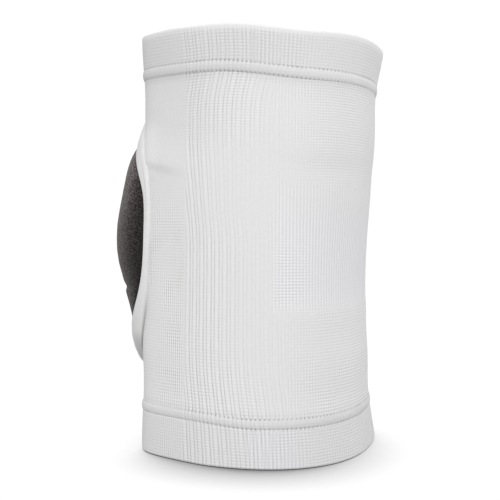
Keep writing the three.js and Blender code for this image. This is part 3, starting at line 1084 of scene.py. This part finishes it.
def makePad(material):
    size = pad["quads"] + 1
    side = np.linspace(-1, 1, size)
    first, second = np.meshgrid(side, side)
    discX = first * np.sqrt(1 - second**2 / 2)
    discY = second * np.sqrt(1 - first**2 / 2)
    turn = np.arctan2(discY, discX)
    power = border["ovalPower"]
    bulge = (np.abs(np.cos(turn)) ** power + np.abs(np.sin(turn)) ** power) ** (-1 / power)
    across = discX * bulge * pad["halfWidth"]
    up = discY * bulge * pad["halfHeight"]
    angle = frontAngle(across)
    z = border["middle"] + up
    cover = legPoint(angle, z, padHeight(across, up, pad["startShare"]))
    under = legPoint(angle, z, pad["underGap"])
    points = np.concatenate((cover.reshape(-1, 3), under.reshape(-1, 3)))
    lower = size * size
    index = np.arange(lower).reshape(size, size)
    quads = np.stack((index[:-1, :-1], index[:-1, 1:], index[1:, 1:], index[1:, :-1]), axis=-1)
    quads = quads.reshape(-1, 4)
    rim = np.concatenate((index[0, :-1], index[:-1, -1], index[-1, :0:-1], index[:0:-1, 0]))
    beyond = np.roll(rim, -1)
    wall = np.stack((rim, rim + lower, beyond + lower, beyond), axis=-1)
    faces = np.concatenate((quads, quads[:, ::-1] + lower, wall)).tolist()
    spots = np.stack((across, up), axis=-1).reshape(-1, 2)
    piece = meshPiece("pad_cover", points, faces, {"weave": np.concatenate((spots, spots))}, material)
    nearRim = np.maximum(np.abs(first), np.abs(second))
    nearFlex = bell(up - pad["flexLine"], pad["flexHoldWidth"])
    free = smoothStep(nearRim, 0.985, 0.9) * (1 - pad["flexHold"] * nearFlex)
    movable = np.concatenate((free.ravel(), np.zeros(lower)))
    swellPad(piece, movable)
    smooth = piece.modifiers.new("smooth", "SUBSURF")
    smooth.levels = 1
    smooth.render_levels = 1
    shown = piece.evaluated_get(bpy.context.evaluated_depsgraph_get())
    finished = bpy.data.meshes.new_from_object(shown)
    piece.modifiers.clear()
    piece.data = finished
    finished.shade_smooth()
    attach(piece, "root")
    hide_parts("pad")
    return piece


# Studio: a white floor with a soft contact shadow, even light all round and a key from the camera's side
studio = {
    "floorSize": 6.0,
    "white": 1.02,
    "shadowReach": 0.046,
    "shadowLean": 55,
    "shadowSamples": 48,
    # share of the sky that the floor sees, and how bright it is there
    "shadowLevels": [
        (0.3, 0.06), (0.36, 0.3), (0.43, 0.52), (0.5, 0.66),
        (0.58, 0.77), (0.68, 0.88), (0.78, 0.965), (0.88, 1),
    ],
    "skyTop": 0.82,
    "skySide": 0.62,
    "skyBelow": 0.36,
    "backDim": 0.14,
    # power, size, distance, azimuth and elevation of each lamp
    "key": (2.4, 0.5, 0.8, 118, 24),
    "rim": (1.8, 0.5, 0.8, 228, 12),
    "fill": (0.45, 0.6, 0.8, 8, 14),
}


def aroundObject(azimuth, elevation, distance):
    flat = math.cos(math.radians(elevation)) * distance
    turn = math.radians(azimuth)
    height = math.sin(math.radians(elevation)) * distance
    return (math.sin(turn) * flat, -math.cos(turn) * flat, height)


def makeFloor():
    material, board = newFinish("floor_white")
    leaning = aroundObject(cameraSet["azimuth"] + 180, 90 - studio["shadowLean"], 1)
    away = board.node("ShaderNodeCombineXYZ", None, dict(zip("XYZ", leaning)))
    sockets = {"Distance": studio["shadowReach"], "Normal": away}
    near = board.node("ShaderNodeAmbientOcclusion", {"samples": studio["shadowSamples"]}, sockets, "AO")
    stops = [(position, (level, level, level)) for position, level in studio["shadowLevels"]]
    tone = board.node("ShaderNodeValToRGB", {"stops": stops}, {"Fac": near})
    glow = board.node("ShaderNodeEmission", None, {"Color": tone, "Strength": studio["white"]})
    board.node("ShaderNodeOutputMaterial", None, {"Surface": glow})
    half = studio["floorSize"] / 2
    mesh = bpy.data.meshes.new("floor")
    corners = [(-half, -half, 0), (half, -half, 0), (half, half, 0), (-half, half, 0)]
    mesh.from_pydata(corners, [], [(0, 1, 2, 3)])
    mesh.materials.append(material)
    floor = bpy.data.objects.new("floor", mesh)
    scene.collection.objects.link(floor)
    floor.visible_diffuse = False
    floor.visible_glossy = False


def makeLight():
    world = bpy.data.worlds.new("studio_white")
    scene.world = world
    world.use_nodes = True
    board = Board(world.node_tree)
    direction = board.node("ShaderNodeTexCoord", None, None, "Generated")
    height = board.axis(direction, "Z")
    low = board.ease(height, -0.35, 0.1)
    high = board.ease(height, 0.1, 0.9)
    level = blend(blend(studio["skyBelow"], studio["skySide"], low), studio["skyTop"], high)
    level = level * (1 - board.axis(direction, "Y") * studio["backDim"])
    lit = board.node("ShaderNodeBackground", None, {"Color": (1, 1, 1, 1), "Strength": level})
    seen = board.node("ShaderNodeBackground", None, {"Color": (1, 1, 1, 1), "Strength": studio["white"]})
    isSeen = board.node("ShaderNodeLightPath", None, None, "Is Camera Ray")
    sky = board.node("ShaderNodeMixShader", None, {0: isSeen, 1: lit, 2: seen})
    board.node("ShaderNodeOutputWorld", None, {"Surface": sky})
    for name in ("key", "rim", "fill"):
        power, size, distance, azimuth, elevation = studio[name]
        lamp = bpy.data.lights.new(name, "AREA")
        lamp.energy = power
        lamp.size = size
        holder = bpy.data.objects.new(name, lamp)
        holder.location = aroundObject(azimuth, elevation, distance)
        holder.rotation_euler = (math.radians(90 - elevation), 0, math.radians(azimuth))
        scene.collection.objects.link(holder)


# Camera at the photograph's angle, almost level with the knee
cameraSet = {
    "azimuth": 112,
    "distance": 0.45,
    "height": 0.1242,
    "pitchDown": 0.0386,
    "turnLeft": 0.0006,
    "focalPixels": 780.2,
    "framePixels": 500,
    "sensor": 36,
    "clipStart": 0.01,
}


def makeCamera():
    lens = bpy.data.cameras.new("camera")
    lens.sensor_width = cameraSet["sensor"]
    lens.lens = cameraSet["focalPixels"] / cameraSet["framePixels"] * cameraSet["sensor"]
    lens.clip_start = cameraSet["clipStart"]
    camera = bpy.data.objects.new("camera", lens)
    x, y, level = aroundObject(cameraSet["azimuth"], 0, cameraSet["distance"])
    camera.location = (x, y, level + cameraSet["height"])
    turn = math.radians(cameraSet["azimuth"]) + cameraSet["turnLeft"]
    camera.rotation_euler = (math.pi / 2 - cameraSet["pitchDown"], 0, turn)
    scene.collection.objects.link(camera)
    scene.camera = camera
    scene.view_settings.view_transform = "Standard"


makeCamera()
makeLight()
makeFloor()
print("studio ready")

sleeveCloth = makeSleeve(knitFinish("sleeve_knit", False))
print(f"sleeve knitted, {len(sleeveCloth.data.polygons)} faces")

hemKnit = knitFinish("hem_knit_cloth", True)
topHem = makeHem("top_hem_cloth", "top_hem", hem["topBand"], True, hemKnit)
bottomHem = makeHem("bottom_hem_cloth", "bottom_hem", hem["bottomBand"], False, hemKnit)
whiteThread = threadFinish()
topStitches = makeHemStitches("top_hem_stitches", hem["topBand"], True, whiteThread)
bottomStitches = makeHemStitches("bottom_hem_stitches", hem["bottomBand"], False, whiteThread)
print(f"hems turned and stitched, {len(topHem.data.polygons)} faces each")

makeBorder(borderFinish())
padCover = makePad(padFinish())
print(f"pad and border sewn on, {len(padCover.data.polygons)} faces on the pad")
